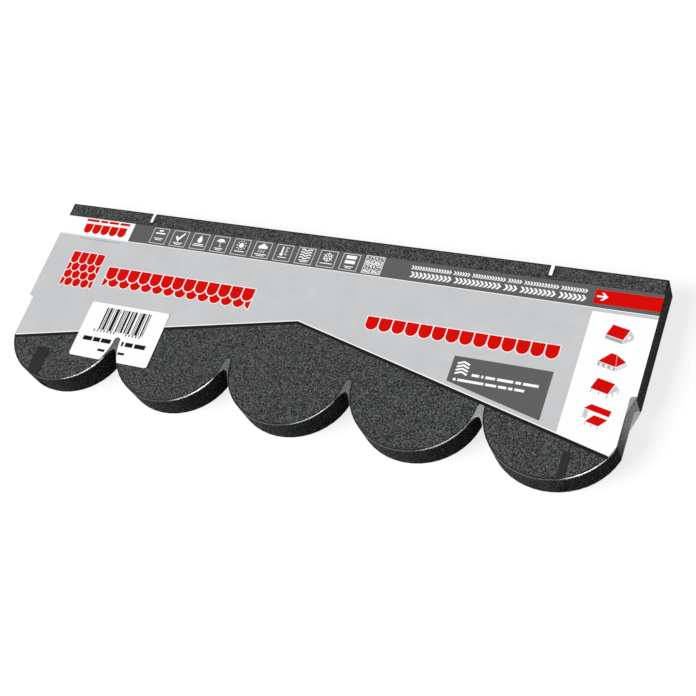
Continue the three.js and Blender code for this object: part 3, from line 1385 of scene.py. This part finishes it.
@dataclass
class Pictograms:
    """The row of small framed signs in the header band.

    A sign is drawn about its own middle, which lies below the frame's top by a share of its size.
    """

    page: FilmPrint
    first_left: float = -325.0
    pitch: float = 38.0
    size: float = 29.5
    top: float = 133.5
    frame: float = 1.3
    sign_share: float = 0.43
    dots_over: float = 1.4
    dots_below: float = 0.4
    dots_rim: float = 1.0
    dots_across: int = 19
    dot_gap: float = 0.06

    def build(self) -> None:
        """Draws the frames, the signs and the dot pattern at the row's end."""
        signs = (self.lines, self.tick, self.drop, self.umbrella, self.sun, self.cloud,
                 self.thermometer, self.waves, self.snow, self.layers)
        frames, marks = [], []
        for i, sign in enumerate(signs):
            x = self.first_left + self.pitch * i
            frames += self.square(x, self.top - self.size, self.size, self.frame)
            centre = (x + self.size / 2, self.top - self.size * self.sign_share)
            marks += [moved(shape, *centre) for shape in sign() + (self.caption(i) if i else [])]
        self.page.lay("pictogram_frames", Ink.FRAME, 1, frames)
        self.page.lay("pictograms", Ink.WHITE, 1, marks)
        x, foot = self.first_left + self.pitch * len(signs), self.top - self.size - self.dots_below
        side, inset = self.size + self.dots_over, 2 * self.dots_rim
        dots = self.dots(x + inset, foot + inset, side - 2 * inset)
        self.page.lay("dot_pattern", Ink.WHITE, 1, self.square(x, foot, side, self.dots_rim) + dots)

    def square(self, x: float, y: float, side: float, rim: float) -> Outlines:
        """A square frame: its outside, and the hole in it."""
        return [rect(x, y, x + side, y + side), rect(x + rim, y + rim, x + side - rim, y + side - rim)]

    def caption(self, index: int) -> Outlines:
        """Short bars under a sign.

        Args:
            index: the sign's place in the row.

        Returns:
            One bar or two.
        """
        width = 15 + 3 * (index % 3)
        bars = [rect(-width / 2, -10.6, width / 2, -9.2), rect(-width / 3, -13.0, width / 3, -11.8)]
        return bars[:1 + index % 2]

    def lines(self) -> Outlines:
        """Rows of bars."""
        rows = ((4, 6.4, 9), (9, 1.6, 4.2), (8.5, -7.2, -5.9), (6, -9.9, -8.6))
        return [rect(-half, low, half, high) for half, low, high in rows]

    def tick(self) -> Outlines:
        """A tick."""
        return [[(-8, 0.5), (-5.2, 3.2), (-2.2, -1.2), (6.6, 9.4), (8.6, 8), (-1.9, -7.4)]]

    def drop(self) -> Outlines:
        """A drop of water over a line."""
        return [[(0, 9.5), *arc(0, 0, 4.6, 25, -205, 18)], rect(-9, -7.8, 9, -6.4)]

    def umbrella(self) -> Outlines:
        """An open umbrella: three scallops under a canopy, and a hooked handle."""
        scallops = [point for cx in (-5.33, 0, 5.33) for point in arc(cx, 0, 2.67, 180, 0, 6)]
        return [arc(0, 0, 8, 0, 180, 14) + scallops,
                band([(0, 2.2), (0, -5.4), (1.0, -6.6), (2.4, -6.4), (3, -5.2)], 1.1)]

    def sun(self) -> Outlines:
        """A sun with ten rays."""
        turns = [math.radians(36 * i) for i in range(10)]
        return [arc(0, 1, 4.3, 0, 345, 23),
                *(band([(r * math.cos(a), 1 + r * math.sin(a)) for r in (6, 8.8)], 1.3) for a in turns)]

    def cloud(self) -> Outlines:
        """A cloud with rain.

        Returns:
            The cloud, then the rain.
        """
        puffs = ((-5, 3, 3, 225, 80, 8), (0, 5, 4.4, 150, 20, 10), (5.2, 3, 3, 80, -60, 8))
        body = [(-8, 0)] + [point for puff in puffs for point in arc(*puff)]
        return [body, *(band([(x, -2), (x - 2, -7)], 1.1) for x in (-4, 0.5, 5))]

    def thermometer(self) -> Outlines:
        """A thermometer beside a scale.

        Returns:
            The thermometer, then the scale's lines.
        """
        bulb = arc(-3, -4.6, 2.9, 60, -240, 16)
        tube = [(-4.4, -2.6), (-4.4, 8), *arc(-3, 8, 1.4, 180, 0, 6), (-1.6, -2.6), *bulb]
        return [tube, *(rect(2, y, 5 if i % 2 else 7, y + 1.1) for i, y in enumerate((-5, -2, 1, 4, 7)))]

    def waves(self) -> Outlines:
        """Four waves."""
        wave = [(-9.5 + 19 * i / 24, 1.3 * math.sin(math.tau * i / 16)) for i in range(25)]
        return [band(moved(wave, 0, y), 1.9) for y in (8.2, 3.6, -1.0, -5.6)]

    def snow(self) -> Outlines:
        """A snow star: six plain arms, each with two twigs.

        Returns:
            One outline an arm or a twig.
        """
        arms = []
        for i in range(6):
            a = math.radians(60 * i + 30)
            c, s = math.cos(a), math.sin(a)
            arms.append(band([(r * c, 1 + r * s) for r in (1.6, 8.6)], 1.4))
            for side in (-1, 1):
                fork = (5.0 * c - side * s * 0.9, 1 + 5.0 * s + side * c * 0.9)
                tip = (7.2 * math.cos(a + side * 0.5), 1 + 7.2 * math.sin(a + side * 0.5))
                arms.append(band([fork, tip], 1.0))
        return arms

    def layers(self) -> Outlines:
        """Two slabs, one on another."""
        return [rect(-8.5, 3.4, 8.5, 9.2), rect(-8.5, -5, 8.5, 0.8)]

    def dots(self, x0: float, y0: float, size: float) -> Outlines:
        """A square of evenly mixed dots with no message in it.

        Args:
            x0: the square's left side.
            y0: its foot.
            size: its side.

        Returns:
            One outline a dot.
        """
        cell, gap = size / self.dots_across, self.dot_gap
        places = ((row, col) for row in range(self.dots_across) for col in range(self.dots_across))
        mixed = [(x0 + col * cell, y0 + row * cell) for row, col in places
                 if (row * row * 3 + col * col * 5 + row * col * 7 + row) % 11 < 6]
        return [rect(x + gap, y + gap, x + cell - gap, y + cell - gap) for x, y in mixed]


@dataclass
class RoofPictures:
    """Small plain drawings of a gable, a hipped, a carport and a lean-to roof on the white panel.

    Each is a simple building in a slanting view, its sizes in millimetres on the print: u runs
    along the eave, v to the back and w up. A picture is its red, light grey and dark grey shapes.
    """

    page: FilmPrint
    centres: tuple[Point, ...] = ((456, 64), (456, 23), (456, -18), (459, -62))
    along: Point = (0.95, -0.2)
    back: Point = (0.56, 0.4)
    middle: Point = (19.0, 7.5)
    length: float = 26.0
    depth: float = 22.0
    eave: float = 6.0
    ridge: float = 18.0
    hip: float = 0.34
    gap: float = 1.0
    post: float = 1.1

    def build(self) -> None:
        """Draws the four pictures."""
        layers: Picture = ([], [], [])
        for (x, y), picture in zip(self.centres, (self.gabled, self.hipped, self.carport, self.lean_to)):
            for layer, shapes in zip(layers, picture()):
                layer += [moved(shape, x - self.middle[0], y - self.middle[1]) for shape in shapes]
        for name, ink, layer in zip(("red", "walls", "shades"), (Ink.RED, Ink.LIGHT_GREY, Ink.SHADE), layers):
            self.page.lay(f"roof_{name}", ink, 1, layer)

    def view(self, *places: Place) -> list[Point]:
        """Where places (u, v, w) show on the print."""
        return [(u * self.along[0] + v * self.back[0], u * self.along[1] + v * self.back[1] + w)
                for u, v, w in places]

    def slope(self) -> list[Point]:
        """The near slope of a gable roof."""
        half, u, low, top = self.depth / 2, self.length, self.eave, self.ridge
        return self.view((0, 0, low), (0, half, top), (u, half, top), (u, 0, low))

    def panel(self, u0: float, u1: float, w0: float, w1: float, v: float = 0.0) -> list[Point]:
        """An upright panel that faces the front."""
        return self.view((u0, v, w0), (u0, v, w1), (u1, v, w1), (u1, v, w0))

    def side(self, v0: float, v1: float, w0: float, w1: float) -> list[Point]:
        """An upright panel that faces the right, clear of the front by a gap."""
        u = self.length + self.gap
        return self.view((u, v0, w0), (u, v0, w1), (u, v1, w1), (u, v1, w0))

    def posts(self, *feet: Point, top: float) -> Outlines:
        """Thin posts of that height that stand on places (u, v)."""
        stands = [self.view((u, v, 0))[0] for u, v in feet]
        return [rect(x, y, x + self.post, y + top - self.gap) for x, y in stands]

    def gabled(self) -> Picture:
        """A gable roof over walls, with a window in the gable.

        Returns:
            The picture.
        """
        u, low = self.length + self.gap, self.eave - self.gap
        end = self.view((u, 0, 0), (u, 0, low), (u, self.depth / 2, self.ridge - self.gap),
                        (u, self.depth, low), (u, self.depth, 0))
        return [self.slope()], [end, self.side(8, 14, 4, 9)], [self.panel(0, self.length, 0, low)]

    def hipped(self) -> Picture:
        """A hipped roof with two slopes in view, over walls with windows.

        Returns:
            The picture.
        """
        u, half, eave, low, clear = self.length, self.depth / 2, self.eave, self.eave - self.gap, self.gap / 2
        near, far = u * self.hip, u * (1 - self.hip)
        front = self.view((0, 0, eave), (near, half, self.ridge), (far, half, self.ridge), (u, 0, eave))
        right = self.view((u + clear, 0, eave), (far + clear, half, self.ridge), (u, self.depth, eave))
        doors = [self.panel(left, left + 4, 1, 4) for left in (3, 11, 19)]
        panes = [self.side(near_side, near_side + 4, 1.5, 4) for near_side in (3, 9, 15)]
        return [front, right], [self.side(0, self.depth, 0, low), *panes], [self.panel(0, u, 0, low), *doors]

    def carport(self) -> Picture:
        """A gable roof on posts.

        Returns:
            The picture.
        """
        u, low = self.length + self.gap, self.eave
        end = self.view((u, 0, low), (u, self.depth / 2, self.ridge - self.gap), (u, self.depth, low))
        feet = ((1, 0), (13, 0), (25, 0), (26, 10), (26, 21))
        return [self.slope()], [end], self.posts(*feet, top=self.eave)

    def lean_to(self) -> Picture:
        """A low roof on posts before a taller house.

        Returns:
            The picture.
        """
        front, back, eave, ridge = 12.0, self.depth, 13.0, 17.0
        upper = self.view((-11, front, eave), (-8, back, ridge), (22, back, ridge), (26, front, eave))
        lower = self.view((6, -6, 5), (6, front - self.gap, 9), (26, front - self.gap, 9), (26, -6, 5))
        wall = self.panel(-10, -4, 0, eave - self.gap, front)
        return [upper, lower], [wall], self.posts((6, -6), (15, -6), (25, -6), top=5)


@dataclass
class Sticker:
    """The white paper label with its bar pattern."""

    node: str = "sticker"
    slot: str = "sticker_paper"
    sink_mm: float = 0.03
    print_mm: float = 0.015
    bars_left: float = -343.0
    bars_right: float = -257.0
    bars_margin: float = 2.0
    module: float = 1.35
    bars_top: float = -21.5
    bars_bottom: float = -61.0
    bar_modules: tuple[int, ...] = (2, 1, 3, 1, 1, 4, 1, 2, 1, 1, 3)
    gap_modules: tuple[int, ...] = (1, 1, 1, 2, 1, 1, 3)

    def build(self, nodes: CadNodes) -> None:
        """Dresses the label and prints its bars.

        Args:
            nodes: the CAD nodes by name.
        """
        paint(nodes[self.node], Ink.PAPER.value)
        log.info("dressed %s", self.node)
        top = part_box(self.node)[1][2] - self.sink_mm * MM
        sheet = InkSheet("sticker_print", Ink.TONER, 0, top, self.slot, self.print_mm)
        sheet.build([*self.bars(), *self.words()])

    def bars(self) -> Outlines:
        """Upright bars of uneven width that stand for no number.

        Returns:
            One outline a bar.
        """
        shapes, x = [], self.bars_left
        for bar, gap in zip(cycle(self.bar_modules), cycle(self.gap_modules)):
            if x >= self.bars_right - self.bars_margin:
                break
            shapes.append(rect(x, self.bars_bottom, x + bar * self.module, self.bars_top))
            x += (bar + gap) * self.module
        return shapes

    def words(self) -> Outlines:
        """Plain bars in place of the label's lines, clear of the slot.

        Returns:
            One outline a bar.
        """
        rows = (  # left end, foot, height, lengths, gap
            (-350, -65.0, 3.8, [2.2] * 7, 4.0), (-290, -65.0, 3.8, [2.2] * 5, 4.0),
            (-362.5, -82.4, 7.4, (17, 13, 18), 2.2), (-290, -82.4, 7.4, (4, 14, 20), 3.2),
            (-327, -97.4, 4.2, (13,), 2), (-289, -97.4, 4.2, (12,), 2))
        return [bar for row in rows for bar in word_bars(*row)]


# ---------------------------------------------------------------- floor, light and camera

@dataclass
class Studio:
    """A white floor, even light and the camera, with their places in metres."""

    camera_at: Place = (0.86523, -0.72605, 1.56393)
    look_at: Place = (0.06799, -0.01047, 0.022)
    roll_deg: float = 32.86
    lens_mm: float = 66.65
    sensor_mm: float = 36.0
    clip_from: float = 0.05
    floor_paint: WhiteFloor = WhiteFloor()
    floor_size: float = 14.0
    floor_below_mm: float = 0.1
    key_from: Place = (-0.63, -0.36, 0.68)
    key_strength: float = 3.4
    key_width_deg: float = 34.0
    shine_from: Place = (0.55, -0.63, 0.53)
    shine_strength: float = 11.0
    shine_width_deg: float = 30.0
    sky_strength: float = 0.26

    def build(self) -> None:
        """Makes the floor, the world, the broad light and the camera."""
        self.floor()
        self.world()
        self.sun("key_light", self.key_from, self.key_strength, self.key_width_deg)
        self.camera()

    def floor(self) -> None:
        """A plain white floor that keeps the bundle's shadow."""
        bpy.ops.mesh.primitive_plane_add(size=self.floor_size, location=(0, 0, -self.floor_below_mm * MM))
        floor = bpy.context.object
        floor.name = "floor"
        paint(floor, self.floor_paint)

    def world(self) -> None:
        """White surroundings that light everything evenly, at less strength than they are seen."""
        world = bpy.data.worlds.new("studio")
        bpy.context.scene.world = world
        world.use_nodes = True
        tree = world.node_tree
        seen = add_node(tree, "MapRange", {"Value": seen_rays(tree), "To Min": self.sky_strength})
        background = tree.nodes["Background"]
        background.inputs["Color"].default_value = grey(1.0)
        tree.links.new(seen.outputs["Result"], background.inputs["Strength"])

    def sun(self, name: str, shines_from: Place, strength: float, width_deg: float) -> Object:
        """A broad, far light.

        Args:
            name: the light's name.
            shines_from: the direction from the bundle to the light.
            strength: how strong it is.
            width_deg: how wide it looks from the bundle.

        Returns:
            The light.
        """
        bpy.ops.object.light_add(type="SUN")
        light = bpy.context.object
        light.name = name
        light.data.energy = strength
        light.data.angle = math.radians(width_deg)
        light.rotation_euler = (-Vector(shines_from)).to_track_quat("-Z", "Y").to_euler()
        return light

    def film_light(self, folds: Object) -> None:
        """A light from the right front that only makes the film's shoulders shine.

        Args:
            folds: the film beyond the strips' plan.
        """
        light = self.sun("film_light", self.shine_from, self.shine_strength, self.shine_width_deg)
        light.visible_diffuse = False
        shone_on = bpy.data.collections.new("shone_on_by_film_light")
        shone_on.objects.link(folds)
        light.light_linking.receiver_collection = shone_on

    def camera(self) -> None:
        """The camera, turned about its own axis by the roll."""
        bpy.ops.object.camera_add(location=self.camera_at)
        camera = bpy.context.object
        aim = (Vector(self.look_at) - Vector(self.camera_at)).to_track_quat("-Z", "Y")
        camera.matrix_world = (Matrix.Translation(self.camera_at) @ aim.to_matrix().to_4x4()
                               @ Matrix.Rotation(math.radians(-self.roll_deg), 4, "Z"))
        camera.data.lens = self.lens_mm
        camera.data.sensor_width = self.sensor_mm
        camera.data.clip_start = self.clip_from
        bpy.context.scene.camera = camera


def main() -> None:
    """Builds the dressed bundle around the frame."""
    logging.basicConfig(level=logging.INFO, format="%(message)s")
    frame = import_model()
    deselect()
    bpy.context.scene.view_settings.view_transform = "Standard"
    studio = Studio()
    studio.build()
    ShingleStack().dress(frame["nodes"])
    studio.film_light(FilmSleeve().build(frame["nodes"]))
    FilmPrint(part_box("shrink_film")[1][2]).build()
    Sticker().build(frame["nodes"])


if __name__ == "__main__":
    main()
